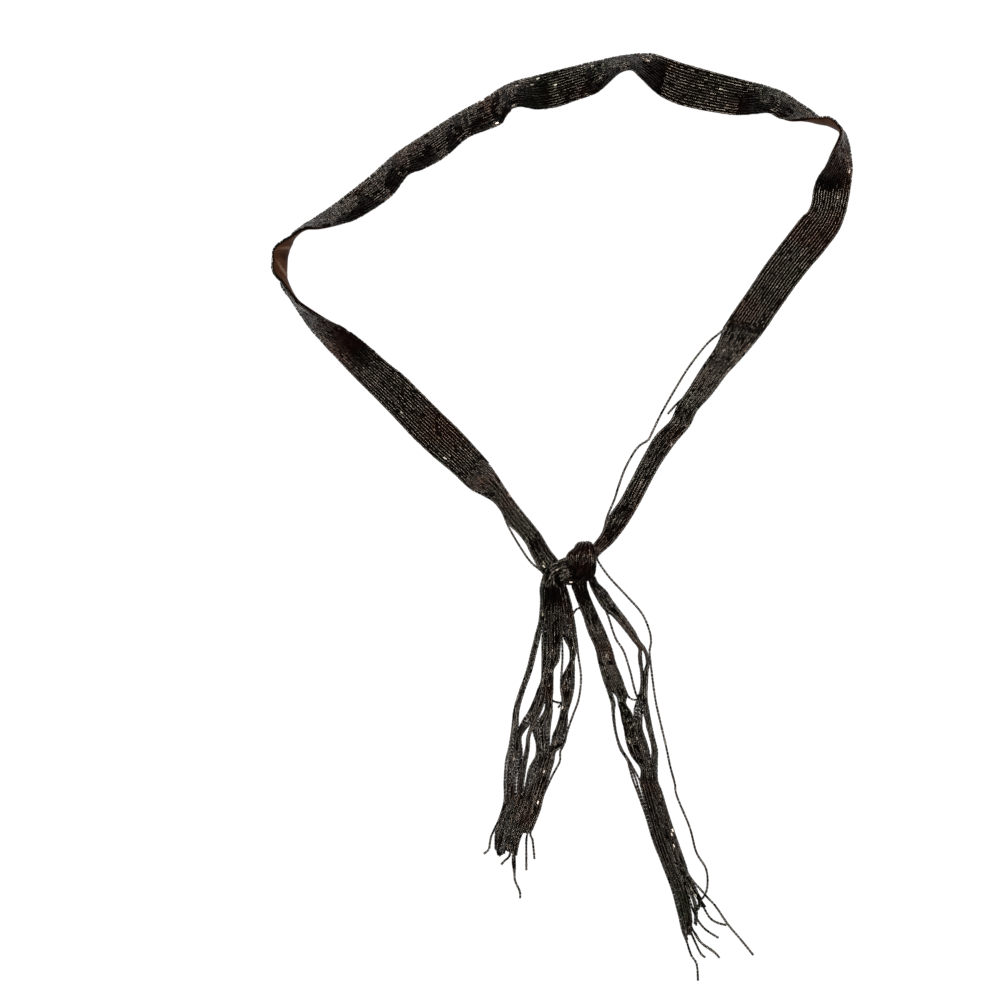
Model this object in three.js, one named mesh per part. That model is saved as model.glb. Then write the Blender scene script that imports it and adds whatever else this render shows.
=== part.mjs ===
// A narrow beaded sash for the hips, laid flat: a long strip with rows of bugle beads on its face and
// silk on its back, and loose beaded strands at both ends, tied in one half knot and hanging as two tassels.
// Millimetres, +Z up. The surface that the sash lies on is Z = 0 and the origin is the middle of its plan.
import * as THREE from "three";

// Driving dimensions.
const LINING_THICKNESS = 1.0;
const SEAM_GAP = 0.3;
const FACE_EDGE_THICKNESS = 1.4; // one layer of beads at the selvedges
const FACE_FULLNESS = 0.8; // how much thicker the beadwork is along its middle
const LINING_INSET = 0.045; // share of the width by which the silk stays inside each bead edge
const STRIP_SECTIONS = 98;
const PANELS_ACROSS = 5;
const FRINGE_PANELS_ACROSS = 4;
const SIDE_HEIGHT = 0.45; // height of a fringe bundle's rounded side, as a share of its middle
const STRAND_DIAMETER = 1.6;
const STRAND_SIDES = 8;
const STRAND_STEP = 3 * STRAND_DIAMETER;

// Guide sections of the strip, from the end at the left of the knot, round the loop, to the end at its right.
// Outer edge x, y (it rests on the surface), inner edge x, y, then the inner edge's lift, and the crown (up) and
// belly (towards the loop) by which the middle of the section leaves the straight line between its edges.
const STRIP_GUIDES = [
  [-64, 20, -50.5, 38, 0, 0, 0],
  [-76.5, 32, -58.5, 47, 0, 0, 0],
  [-90, 43, -70, 59.5, 0, 0, 0],
  [-103, 55.5, -84, 73, 0, 0, 0],
  [-116, 69, -98, 87, 0, 0, 0],
  [-130, 83.5, -110.5, 99, 0, 0, 0],
  [-143.5, 97, -123, 109, 0, 0, 0],
  [-156.5, 110.5, -137, 121.5, 2, 2, 0],
  [-168.5, 124, -152, 132.5, 8, 4, 0],
  [-176, 133, -163.5, 138.5, 17, 4, 0],
  [-183.5, 144, -178.5, 148, 23, 1, 1],
  [-189.5, 153, -187.5, 155, 22.5, 0, 3],
  [-196, 162.5, -194.5, 163.5, 20.5, 0, 5.5],
  [-194, 172, -202, 172.5, 17, 0, 6.5],
  [-193, 180.5, -202.5, 180.5, 16, 0, 6.5],
  [-191, 187, -201.5, 188, 17.5, 0, 6],
  [-190.5, 194.5, -193.5, 194.5, 20, 0, 6],
  [-187, 199.5, -186, 198.5, 22.5, 0, 3.5],
  [-180.5, 204.5, -178, 201, 23.5, 0, 1.5],
  [-174.5, 208, -169, 201.5, 22, 2, 0],
  [-167.5, 213, -159, 203.5, 19, 3, 0],
  [-159, 219, -147.5, 207, 14, 4, 0],
  [-150.5, 225.5, -136, 213, 9, 4.5, 0],
  [-142.5, 232, -126, 219.5, 5, 4.5, 0],
  [-133.5, 239, -117, 227, 4, 4.5, 0],
  [-124.5, 247, -110.5, 235.5, 9, 4.5, 0],
  [-116, 254.5, -106, 240.5, 11, 4.5, 0],
  [-105, 262, -98, 243.5, 6, 4.5, 0],
  [-94.5, 269, -87, 249, 3, 4.5, 0],
  [-83.5, 276, -78, 255.5, 3, 4.5, 0],
  [-70.5, 284, -66, 265.5, 8, 4.5, 0],
  [-58.5, 290.5, -53, 271, 4, 4.5, 0],
  [-49, 296, -42, 276, 3, 4, 0],
  [-42.5, 300.5, -37, 283, 8, 4, 0],
  [-33, 305, -30, 287.5, 9, 4, 0],
  [-20.5, 308.5, -17, 286, 2, 3, 0],
  [-8, 312, -3.5, 287.5, 0, 1, 0],
  [7, 315.5, 11, 292.5, 2, 2.5, 0],
  [20.5, 318.5, 25.5, 297.5, 5, 4, 0],
  [30, 320.5, 33, 303.5, 13, 4, 0],
  [40, 322.5, 41, 310.5, 19, 3.5, 0],
  [50, 324, 49, 312.5, 19.5, 3.5, 0],
  [59, 324.5, 54.5, 308, 14, 4, 0],
  [67, 324, 60.5, 302.5, 6, 3, 0],
  [76.5, 321, 68.5, 296, 0, 0, 0],
  [87, 317.5, 79.5, 290.5, 0, 0, 0],
  [99, 314, 91.5, 287, 0, 0, 0],
  [114, 310, 107, 284, 0, 0, 0],
  [128.5, 306, 122.5, 282, 0, 1.5, 0],
  [140.5, 303, 136.5, 282.5, 6, 4, 0],
  [150, 300, 146, 283, 13, 4, 0],
  [158, 296.5, 152.5, 279.5, 13, 3.5, 0],
  [166, 291, 160.5, 277, 16, 1.5, 2],
  [172.5, 286.5, 169, 277.5, 19, 0, 4],
  [177.5, 282.5, 175, 279, 20.5, 0, 5],
  [182, 279.5, 180.5, 280, 20.5, 0, 5.5],
  [187.5, 277, 187, 280.5, 20.5, 0, 5.5],
  [193.5, 274, 192, 277.5, 21, 0, 5],
  [198, 270, 195, 272, 22.5, 0, 3.5],
  [200.5, 264, 193, 264.5, 22, 1, 1],
  [202.5, 256, 188.5, 254.5, 18, 3, 0],
  [203.5, 247.5, 185, 246, 10, 4.5, 0],
  [203.5, 238.5, 180, 238.5, 2, 2.5, 0],
  [202.5, 229, 177, 229.5, 0, 0, 0],
  [201, 221, 176, 220.5, 0, 0, 0],
  [199, 212, 173, 213.5, 0, 0, 0],
  [194.5, 200.5, 168.5, 209.5, 0, 0, 0],
  [185, 187.5, 161, 200, 0, 0, 0],
  [174, 174.5, 152, 188.5, 0, 0, 0],
  [163, 160.5, 142.5, 175.5, 0, 0, 0],
  [153, 146.5, 132.5, 160.5, 0, 0, 0],
  [144, 133, 121.5, 144.5, 0, 0, 0],
  [139.5, 126.5, 113.5, 132.5, 0, 0, 0],
];

// Guide sections of the fringe bundles, away from the strip and down to the tips: left side x, y (seen
// along the bundle), right side x, y, and the height of the middle.
const RUN_LEFT_GUIDES = [
  [-49.5, 36.5, -62.5, 19, 3],
  [-45.5, 31, -54.5, 15, 3.5],
  [-40.5, 23, -47, 10.5, 4],
  [-34.5, 14, -41.5, 4, 4],
  [-28, 5.5, -36.5, -5, 4],
  [-21, -3, -31, -10.5, 4],
  [-14, -12, -25, -18, 4.5],
  [-8, -22, -20, -28, 5],
  [-2.5, -29, -14.5, -37.5, 6],
];
const RUN_RIGHT_GUIDES = [
  [138.5, 125.5, 112.5, 131.5, 3],
  [128, 113, 107, 119, 3.5],
  [116, 100, 97, 104, 3.5],
  [105.5, 86, 88.5, 90, 4],
  [95.5, 75, 81, 79, 4],
  [90, 64, 76, 68, 4],
  [80, 52, 65, 57, 4],
  [68.5, 36, 55.5, 40.5, 4],
  [60, 21, 47.5, 26, 4.5],
  [52.5, 7.5, 40, 12, 4.5],
  [44.5, -5, 32.5, 1.5, 5],
  [35.5, -17, 28.5, -9.5, 6],
  [27.5, -24.5, 23.5, -17, 7],
];
const KNOT_GUIDES = [
  [22, -17, 12, -17.5, 7],
  [23.8, -22, 5.5, -23.5, 11],
  [24.5, -29, 0.6, -30, 13],
  [24.5, -37, 0.6, -38, 13],
  [21, -43.5, 2.5, -45, 10],
  [16, -45.5, 5.5, -47.8, 7],
];
const TASSEL_LEFT_GUIDES = [
  [-1.6, -30.2, -14, -39.2, 8],
  [0, -40, -14.8, -46, 7],
  [3, -51, -14.5, -54, 5],
  [6, -63, -14.5, -64, 4],
  [9, -78, -15, -78, 3.5],
  [9, -98, -14.5, -96, 3],
  [7, -118, -17, -116, 3],
  [3.5, -138, -22, -137, 3],
  [-2.5, -158, -27, -156, 3],
  [-8, -180, -39, -176, 3],
  [-13.5, -199, -40.5, -197, 3],
  [-20, -216, -46, -216, 3],
  [-29, -233, -48.5, -228, 3],
];
const LOCK_LEFT_GUIDES = [
  [-15.8, -83.5, -17.2, -82, 2],
  [-17, -95.5, -20.5, -94, 2.5],
  [-21, -111, -25.5, -110, 2.5],
  [-26, -130, -31, -129, 2.5],
  [-30, -150, -35, -149, 2.5],
  [-31.6, -160.5, -36.2, -161.5, 2.5],
];
const TASSEL_RIGHT_GUIDES = [
  [18, -46.5, 8.5, -50, 7],
  [21.5, -58, 12, -61, 5],
  [26.5, -69.5, 16.5, -73, 4],
  [32, -84, 21.5, -87, 3.5],
  [38, -101.5, 27.5, -104, 3],
  [45.5, -121, 34, -124, 3],
  [52, -138, 38.5, -141, 3],
  [56.5, -158, 44.5, -161, 3],
  [60.5, -178, 50, -181, 3],
  [66, -198, 57, -201, 3],
  [71.5, -218.5, 63, -221, 3],
  [77.5, -238.5, 70, -241, 3],
  [83, -252.5, 75.5, -255.5, 3],
  [89.5, -267, 79.5, -269, 3],
  [92, -284, 84, -285.5, 2.5],
  [90, -295.5, 87, -296.5, 2],
];
const TASSEL_SIDE_GUIDES = [
  [25, -42, 21.5, -46, 6],
  [29.5, -50.5, 24, -54.5, 4],
  [36.5, -59, 30.5, -65, 3],
  [46, -70, 41, -75, 3],
  [53.5, -84.5, 48.5, -86, 2.5],
  [59.5, -100, 53.5, -101, 2.5],
  [60.5, -120, 54.5, -120, 2.5],
  [63, -139, 53.5, -140, 2.5],
  [66.5, -159.5, 58.4, -160.5, 2.5],
  [69, -179.5, 63, -181, 2.5],
  [75, -200, 68.2, -201, 2.5],
  [80, -221, 73.8, -222, 2.5],
  [87, -241, 80, -242, 2.5],
  [93, -254, 85.6, -255.5, 2.5],
  [100, -264, 91.8, -267.5, 2.5],
  [100.5, -274, 93.5, -276.5, 2],
];

// Single strands that lie apart from the bundles, as plan points x, y.
const LOOSE_STRANDS = {
  strand_run_upper: [
    [110, 130], [103.5, 124], [96, 115.5], [87.5, 104], [79.5, 91], [72, 78], [67, 68.5], [62.5, 59],
  ],
  strand_run_lower: [
    [60, 54.5], [54, 50.5], [49, 44], [43.5, 33.5], [39.5, 22.5], [36.5, 13],
  ],
  strand_run_left: [
    [-48.5, 9], [-42.8, 1], [-39, -9], [-32.5, -18.5], [-24, -30.5],
  ],
  strand_left_stray: [
    [11, -87], [14, -105], [14, -116], [12.5, -127], [8.5, -139], [4, -150], [1, -161], [-1.5, -170],
  ],
  strand_right_inner: [
    [34.5, -132], [36.5, -147], [38.5, -156.5], [43.5, -168], [48.5, -181], [50.5, -188.5], [54.5, -196.5],
  ],
  strand_right_outer: [
    [26.5, -31.5], [34, -42], [46.5, -55.5], [56.5, -67], [61.8, -79], [63, -87], [62, -94], [63.2, -106],
    [66, -127], [69.5, -143], [73.5, -160], [76.5, -174.5], [80.5, -186], [82, -195], [91, -217],
    [95.5, -234], [102, -245], [103.5, -254], [102.5, -262],
  ],
  tip_left_1: [[-49.8, -229], [-51.5, -233], [-55, -236.5]],
  tip_left_2: [[-40, -232.5], [-40.5, -239], [-43.5, -244]],
  tip_left_3: [[-33.5, -234], [-33.5, -245], [-32.5, -255], [-29.5, -261.5], [-29.5, -268.5]],
  tip_left_4: [[-25.4, -231], [-24.6, -238], [-25, -247.5]],
  tip_left_5: [[-19.6, -219.5], [-18.8, -226], [-19, -233], [-19, -240.5]],
  tip_right_1: [[102.5, -266], [108.5, -272.5], [117, -284], [125.5, -295], [136, -308]],
  tip_right_2: [[101, -277], [104.5, -281.5], [110, -283.8], [115, -284.8]],
  tip_right_3: [[95, -279], [98, -284.5], [103, -289.5], [111.5, -295]],
  tip_right_4: [[93.5, -286.5], [97.5, -296.5], [106, -303], [112.5, -310]],
  tip_right_5: [[92.8, -292], [94.6, -298], [98, -305], [103.5, -309.5]],
  tip_right_6: [[88.5, -298], [91, -306], [94.5, -313], [96.5, -325.5]],
};

const beadwork = new THREE.MeshStandardMaterial({ color: 0x28241f, roughness: 0.25, metalness: 0.35 });
const silk = new THREE.MeshStandardMaterial({ color: 0x462d1d, roughness: 0.5, metalness: 0 });

const sash = new THREE.Group();

function addPiece(name, geometry, material) {
  const mesh = new THREE.Mesh(geometry, material);
  mesh.name = name;
  sash.add(mesh);
}

// A closed solid between two grids of points, rows along its length and columns across its width.
function solidBetween(lower, upper) {
  const rows = lower.length;
  const columns = lower[0].length;
  const around = 2 * columns;
  const positions = [];
  for (let row = 0; row < rows; row += 1) {
    const ring = [...lower[row], ...upper[row].toReversed()];
    ring.forEach((point) => positions.push(point.x, point.y, point.z));
  }
  const faces = [];
  const addQuad = (a, b, c, d) => faces.push(a, b, c, a, c, d);
  for (let row = 0; row < rows - 1; row += 1) {
    for (let k = 0; k < around; k += 1) {
      const here = row * around;
      const next = here + around;
      const after = (k + 1) % around;
      const corners = [here + k, next + k, next + after, here + after];
      // Both grids are cut along the same diagonal, so that layers on each other stay parallel.
      if (k >= columns) corners.push(corners.shift());
      addQuad(...corners);
    }
  }
  const last = (rows - 1) * around;
  for (let column = 0; column < columns - 1; column += 1) {
    const above = around - 1 - column;
    addQuad(column, column + 1, above - 1, above);
    addQuad(last + above, last + above - 1, last + column + 1, last + column);
  }
  const geometry = new THREE.BufferGeometry();
  geometry.setAttribute("position", new THREE.Float32BufferAttribute(positions, 3));
  geometry.setIndex(faces);
  return geometry;
}

// A smooth curve through three of each guide's numbers; its points at one t belong to one section.
function guideCurve(guides, pick) {
  const points = guides.map((guide) => new THREE.Vector3(...pick(guide)));
  return new THREE.CatmullRomCurve3(points, false, "catmullrom", 0.5);
}

const outerEdge = guideCurve(STRIP_GUIDES, (g) => [g[0], g[1], 0]);
const innerEdge = guideCurve(STRIP_GUIDES, (g) => [g[2], g[3], g[4]]);
const swelling = guideCurve(STRIP_GUIDES, (g) => [g[5], g[6], 0]);

function middleOfStrip(t) {
  return outerEdge.getPoint(t).add(innerEdge.getPoint(t)).multiplyScalar(0.5);
}

// The level direction across the strip, from its outer side to the inside of the loop.
function towardsLoop(t) {
  const step = 0.002;
  const heading = middleOfStrip(Math.min(1, t + step)).sub(middleOfStrip(Math.max(0, t - step)));
  return new THREE.Vector3(heading.y, -heading.x, 0).normalize();
}

// The strip's underside at t along it and u across it, a conic from the outer edge to the inner one.
function stripPoint(t, u) {
  const outer = outerEdge.getPoint(t);
  const inner = innerEdge.getPoint(t);
  inner.z = Math.max(0, inner.z);
  const [crown, belly] = swelling.getPoint(t).toArray();
  const chordMiddle = outer.clone().add(inner).multiplyScalar(0.5);
  const control = chordMiddle.clone().addScaledVector(towardsLoop(t), 2 * Math.max(0, belly));
  control.z += 2 * Math.max(0, crown);
  const point = outer.multiplyScalar((1 - u) * (1 - u));
  point.addScaledVector(control, 2 * u * (1 - u));
  return point.addScaledVector(inner, u * u);
}

function stripNormal(t, u) {
  const along = stripPoint(Math.min(1, t + 0.003), u).sub(stripPoint(Math.max(0, t - 0.003), u));
  const across = stripPoint(t, Math.min(1, u + 0.02)).sub(stripPoint(t, Math.max(0, u - 0.02)));
  return across.cross(along).normalize();
}

const FACE_UNDERSIDE = LINING_THICKNESS + SEAM_GAP;

function faceTop(u) {
  const fromMiddle = Math.abs(2 * u - 1);
  return FACE_UNDERSIDE + FACE_EDGE_THICKNESS + FACE_FULLNESS * (1 - fromMiddle ** 3);
}

// Shares of the width at which the layers have their points: the silk uses the inner ones.
const innerShares = [];
for (let column = 0; column <= PANELS_ACROSS; column += 1) {
  innerShares.push(LINING_INSET + ((1 - 2 * LINING_INSET) * column) / PANELS_ACROSS);
}
const allShares = [0, ...innerShares, 1];

// What moves a section so that its beadwork, thickness included, keeps to the guides' outline and stays on or
// above the surface: a rise, and a squeeze across it from both sides.
function settlingOf(t) {
  const across = towardsLoop(t);
  const bare = allShares.map((u) => stripPoint(t, u));
  const beaded = allShares.map((u, k) => bare[k].clone().addScaledVector(stripNormal(t, u), faceTop(u)));
  const bareReach = bare.map((point) => point.dot(across));
  const fullReach = [...bareReach, ...beaded.map((point) => point.dot(across))];
  const start = Math.min(...bareReach);
  const end = Math.max(...bareReach);
  const outerExcess = start - Math.min(...fullReach);
  const innerExcess = Math.max(...fullReach) - end;
  const rise = -Math.min(0, ...bare.map((point) => point.z), ...beaded.map((point) => point.z));
  return (point) => {
    const share = (point.dot(across) - start) / (end - start);
    point.addScaledVector(across, outerExcess * (1 - share) - innerExcess * share);
    point.z += rise;
  };
}

// One layer of the strip, between two heights over its underside, each a function of u.
function stripLayer(shares, bottomOf, topOf) {
  const lower = [];
  const upper = [];
  for (let row = 0; row < STRIP_SECTIONS; row += 1) {
    const t = row / (STRIP_SECTIONS - 1);
    const settle = settlingOf(t);
    lower.push([]);
    upper.push([]);
    for (const u of shares) {
      const foot = stripPoint(t, u);
      const normal = stripNormal(t, u);
      settle(foot);
      lower[row].push(foot.clone().addScaledVector(normal, bottomOf(u)));
      upper[row].push(foot.clone().addScaledVector(normal, topOf(u)));
    }
  }
  return solidBetween(lower, upper);
}

addPiece("band_lining", stripLayer(innerShares, () => 0, () => LINING_THICKNESS), silk);
addPiece("band_face", stripLayer(allShares, () => FACE_UNDERSIDE, faceTop), beadwork);

// A bundle of strands as one solid of its reach, flat underneath and rounded on top.
function fringeBundle(guides) {
  const left = guideCurve(guides, (g) => [g[0], g[1], g[4]]);
  const right = guideCurve(guides, (g) => [g[2], g[3], g[4]]);
  const lower = [];
  const upper = [];
  for (let row = 0; row < guides.length; row += 1) {
    const t = row / (guides.length - 1);
    lower.push([]);
    upper.push([]);
    for (let column = 0; column <= FRINGE_PANELS_ACROSS; column += 1) {
      const u = column / FRINGE_PANELS_ACROSS;
      const top = left.getPoint(t).lerp(right.getPoint(t), u);
      const fromMiddle = Math.abs(2 * u - 1);
      top.z *= 1 - (1 - SIDE_HEIGHT) * fromMiddle ** 2.5;
      lower[row].push(new THREE.Vector3(top.x, top.y, 0));
      upper[row].push(top);
    }
  }
  return solidBetween(lower, upper);
}

addPiece("fringe_left_run", fringeBundle(RUN_LEFT_GUIDES), beadwork);
addPiece("fringe_right_run", fringeBundle(RUN_RIGHT_GUIDES), beadwork);
addPiece("knot", fringeBundle(KNOT_GUIDES), beadwork);
addPiece("tassel_left", fringeBundle(TASSEL_LEFT_GUIDES), beadwork);
addPiece("tassel_left_lock", fringeBundle(LOCK_LEFT_GUIDES), beadwork);
addPiece("tassel_right", fringeBundle(TASSEL_RIGHT_GUIDES), beadwork);
addPiece("tassel_right_side", fringeBundle(TASSEL_SIDE_GUIDES), beadwork);

// A single strand of beads lying on the surface.
function strand(planPoints) {
  const radius = STRAND_DIAMETER / 2;
  const points = planPoints.map(([x, y]) => new THREE.Vector3(x, y, radius));
  const path = new THREE.CatmullRomCurve3(points);
  const section = new THREE.Shape();
  section.absarc(0, 0, radius, 0, 2 * Math.PI);
  return new THREE.ExtrudeGeometry(section, {
    curveSegments: STRAND_SIDES / 2,
    steps: Math.ceil(path.getLength() / STRAND_STEP),
    extrudePath: path,
  });
}

for (const [name, planPoints] of Object.entries(LOOSE_STRANDS)) {
  addPiece(name, strand(planPoints), beadwork);
}

export default sash;
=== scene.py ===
import bpy
import numpy as np
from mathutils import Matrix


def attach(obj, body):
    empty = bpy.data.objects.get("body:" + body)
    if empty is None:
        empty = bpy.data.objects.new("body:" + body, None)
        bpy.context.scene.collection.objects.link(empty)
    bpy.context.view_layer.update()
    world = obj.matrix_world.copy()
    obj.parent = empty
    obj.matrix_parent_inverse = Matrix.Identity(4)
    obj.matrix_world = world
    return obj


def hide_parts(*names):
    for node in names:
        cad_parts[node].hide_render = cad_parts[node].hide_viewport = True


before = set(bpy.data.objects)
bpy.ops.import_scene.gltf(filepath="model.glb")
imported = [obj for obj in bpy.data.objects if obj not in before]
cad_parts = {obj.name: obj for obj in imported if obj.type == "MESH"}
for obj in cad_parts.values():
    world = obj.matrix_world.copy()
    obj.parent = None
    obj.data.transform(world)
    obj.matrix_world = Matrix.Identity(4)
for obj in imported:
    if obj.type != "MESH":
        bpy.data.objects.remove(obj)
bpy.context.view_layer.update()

MM = 0.001

# The strip.
STRIP_WIDTH = 28
LINING_THICKNESS = 1.0
SEAM_GAP = 0.3
FACE_UNDERSIDE = LINING_THICKNESS + SEAM_GAP
FACE_EDGE_THICKNESS = 1.4
FACE_FULLNESS = 0.8
LINING_INSET = 0.045
INNER_EASE = 0.5  # how much wider the worn inner edge lies than its guides
SATIN_THICKNESS = 0.35
LINING_COLUMNS = 31
GROUND_THICKNESS = 0.4
GROUND_COLUMNS = 17
STRIP_STEPS = 1400
STRIP_SHARES = 49
CLOTH_STEPS = 440
TURN_STEPS = 180
TURNS = (0.2, 0.785)  # shares of the strip's length where its lining faces up
TURN_REACH = 0.045
BEAD_ROWS = 14
FIRST_ROW = 0.38  # where the first row lies and how much the rows close up, in rows
ROWS_CLOSED = 0.24
LOST_SHARE = 0.006  # share of the rows' beads that have come off

# The beads.
BEAD_DIAMETER = 1.75
BEAD_LENGTH = 2.5
BEAD_END = 0.14
BEAD_HOLE = 0.9
BEAD_SIDES = 6
ROW_PITCH_ALONG = 2.62
STRAND_PITCH = 2.54
THREAD_DIAMETER = 0.3
PILE_PITCH = 2.15  # how far apart the uppermost strands of a lock lie
STRAND_REST = 0.95  # height of a single strand's middle over the floor
SEWN_HEIGHT = 0.9  # height of the sewn strands' middle over the cloth
SEWN_HEAP = 2.6  # depth of the heap of strands where it is sewn on
TASSEL_HEAP = 4.2
LANE = 0.32  # how much of its sway a strand may follow, and how much at a lock's edges
EDGE_LANE = 0.1
MESSY_FROM = 250  # the way down a strand from which it sways more, and over which that grows
MESSY_OVER = 150
ROW_TILT = 0.045
STRAND_TILT = 0.025
GIRTH_SPREAD = 0.02
LENGTH_SPREAD = 0.03
SEED = 1924
CUT_SHARE = 0.12  # share of the beads whose facets are flat, so that a whole facet flashes
SEWN_END = 7.5  # length of the strip's ends on which the strands, not the rows, are sewn

# Guide sections of the strip, from the end at the left of the knot, round the loop, to the end at its
# right: outer edge x, y, inner edge x, y, the inner edge's lift, and the middle's crown and belly.
STRIP_GUIDES = [
    (-64, 20, -50.5, 38, 0, 0, 0), (-76.5, 32, -58.5, 47, 0, 0, 0), (-90, 43, -70, 59.5, 0, 0, 0),
    (-103, 55.5, -84, 73, 0, 0, 0), (-116, 69, -98, 87, 0, 0, 0), (-130, 83.5, -110.5, 99, 0, 0, 0),
    (-143.5, 97, -123, 109, 0, 0, 0), (-156.5, 110.5, -137, 121.5, 2, 2, 0),
    (-168.5, 124, -152, 132.5, 8, 4, 0), (-176, 133, -163.5, 138.5, 17, 4, 0),
    (-183.5, 144, -178.5, 148, 23, 1, 1), (-189.5, 153, -187.5, 155, 22.5, 0, 3),
    (-196, 162.5, -194.5, 163.5, 20.5, 0, 5.5), (-194, 172, -202, 172.5, 17, 0, 6.5),
    (-193, 180.5, -202.5, 180.5, 16, 0, 6.5), (-191, 187, -201.5, 188, 17.5, 0, 6),
    (-190.5, 194.5, -193.5, 194.5, 20, 0, 6), (-187, 199.5, -186, 198.5, 22.5, 0, 3.5),
    (-180.5, 204.5, -178, 201, 23.5, 0, 1.5), (-174.5, 208, -169, 201.5, 22, 2, 0),
    (-167.5, 213, -159, 203.5, 19, 3, 0), (-159, 219, -147.5, 207, 14, 4, 0),
    (-150.5, 225.5, -136, 213, 9, 4.5, 0), (-142.5, 232, -126, 219.5, 5, 4.5, 0),
    (-133.5, 239, -117, 227, 4, 4.5, 0), (-124.5, 247, -110.5, 235.5, 9, 4.5, 0),
    (-116, 254.5, -106, 240.5, 11, 4.5, 0), (-105, 262, -98, 243.5, 6, 4.5, 0),
    (-94.5, 269, -87, 249, 3, 4.5, 0), (-83.5, 276, -78, 255.5, 3, 4.5, 0),
    (-70.5, 284, -66, 265.5, 8, 4.5, 0), (-58.5, 290.5, -53, 271, 4, 4.5, 0),
    (-49, 296, -42, 276, 3, 4, 0), (-42.5, 300.5, -37, 283, 8, 4, 0), (-33, 305, -30, 287.5, 9, 4, 0),
    (-20.5, 308.5, -17, 286, 2, 3, 0), (-8, 312, -3.5, 287.5, 0, 1, 0),
    (7, 315.5, 11, 292.5, 2, 2.5, 0), (20.5, 318.5, 25.5, 297.5, 5, 4, 0),
    (30, 320.5, 33, 303.5, 13, 4, 0), (40, 322.5, 41, 310.5, 19, 3.5, 0),
    (50, 324, 49, 312.5, 19.5, 3.5, 0), (59, 324.5, 54.5, 308, 14, 4, 0),
    (67, 324, 60.5, 302.5, 6, 3, 0), (76.5, 321, 68.5, 296, 0, 0, 0), (87, 317.5, 79.5, 290.5, 0, 0, 0),
    (99, 314, 91.5, 287, 0, 0, 0), (114, 310, 107, 284, 0, 0, 0), (128.5, 306, 122.5, 282, 0, 1.5, 0),
    (140.5, 303, 136.5, 282.5, 6, 4, 0), (150, 300, 146, 283, 13, 4, 0),
    (158, 296.5, 152.5, 279.5, 13, 3.5, 0), (166, 291, 160.5, 277, 16, 1.5, 2),
    (172.5, 286.5, 169, 277.5, 19, 0, 4), (177.5, 282.5, 175, 279, 20.5, 0, 5),
    (182, 279.5, 180.5, 280, 20.5, 0, 5.5), (187.5, 277, 187, 280.5, 20.5, 0, 5.5),
    (193.5, 274, 192, 277.5, 21, 0, 5), (198, 270, 195, 272, 22.5, 0, 3.5),
    (200.5, 264, 193, 264.5, 22, 1, 1), (202.5, 256, 188.5, 254.5, 18, 3, 0),
    (203.5, 247.5, 185, 246, 10, 4.5, 0), (203.5, 238.5, 180, 238.5, 2, 2.5, 0),
    (202.5, 229, 177, 229.5, 0, 0, 0), (201, 221, 176, 220.5, 0, 0, 0), (199, 212, 173, 213.5, 0, 0, 0),
    (194.5, 200.5, 168.5, 209.5, 0, 0, 0), (185, 187.5, 161, 200, 0, 0, 0),
    (174, 174.5, 152, 188.5, 0, 0, 0), (163, 160.5, 142.5, 175.5, 0, 0, 0),
    (153, 146.5, 132.5, 160.5, 0, 0, 0), (144, 133, 121.5, 144.5, 0, 0, 0),
    (139.5, 126.5, 113.5, 132.5, 0, 0, 0),
]

# Guide sections of the two runs of fringe from the strip's ends to the knot: left side x, y, seen along the
# run, right side x, y, and the height of the heap of strands.
LEFT_RUN = [
    (-49.5, 36.5, -62.5, 19, 3), (-45.5, 31, -54.5, 15, 3.5), (-40.5, 23, -47, 10.5, 4),
    (-34.5, 14, -41.5, 4, 4), (-28, 5.5, -36.5, -5, 4), (-21, -3, -31, -10.5, 4),
    (-14, -12, -25, -18, 4.5), (-8, -22, -20, -28, 5), (-2.5, -29, -14.5, -37.5, 6),
]
RIGHT_RUN = [
    (138.5, 125.5, 112.5, 131.5, 3), (128, 113, 107, 119, 3.5), (116, 100, 97, 104, 3.5),
    (105.5, 86, 88.5, 90, 4), (95.5, 75, 81, 79, 4), (90, 64, 76, 68, 4), (80, 52, 65.5, 57, 4),
    (69, 36, 56, 40.5, 4), (60.8, 21, 48.2, 26, 4.5), (53.7, 7.5, 40.7, 12, 4.5),
    (45.8, -5.5, 33.2, 1.5, 5), (36.5, -17.5, 29, -9.5, 6), (28, -25, 24, -17, 7),
]

# The way through the half knot: left side x, y, z, right side x, y, z, and the depth of the heap. The left
# end passes under the right one, turns up over the front of it, and comes out behind it at the bottom.
LEFT_END_IN_KNOT = [
    (1, -35, 3, -8, -43.5, 3, 4), (5, -38.5, 5.5, 4.5, -47, 4.5, 3.6), (7, -37.5, 8.2, 14, -46, 5.5, 4),
    (4.5, -34.5, 9.6, 22.8, -41, 8, 4.4), (2.8, -30, 10.4, 24.8, -34, 10.2, 4.4),
    (4.2, -25.5, 10.4, 24.5, -26, 10.5, 4.4), (9.2, -21.8, 8.6, 23.2, -20, 8.8, 4.2),
    (12, -18.4, 5.5, 21.6, -17.6, 5.5, 3.4), (9, -22, 2.4, 21.5, -21, 2.4, 3),
    (8, -36, 1.8, 22.5, -33, 1.8, 3), (8.5, -44, 1.8, 23.5, -39.5, 1.8, 3),
]
RIGHT_END_IN_KNOT = [
    (19.5, -33.5, 5.5, 18, -22.5, 6.5, 5), (11, -39.5, 6.5, 9, -26, 7, 4), (3.5, -43, 7, 0.8, -28.8, 7, 4),
    (0.8, -45, 6.5, -10, -35.2, 6.5, 4),
]

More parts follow.
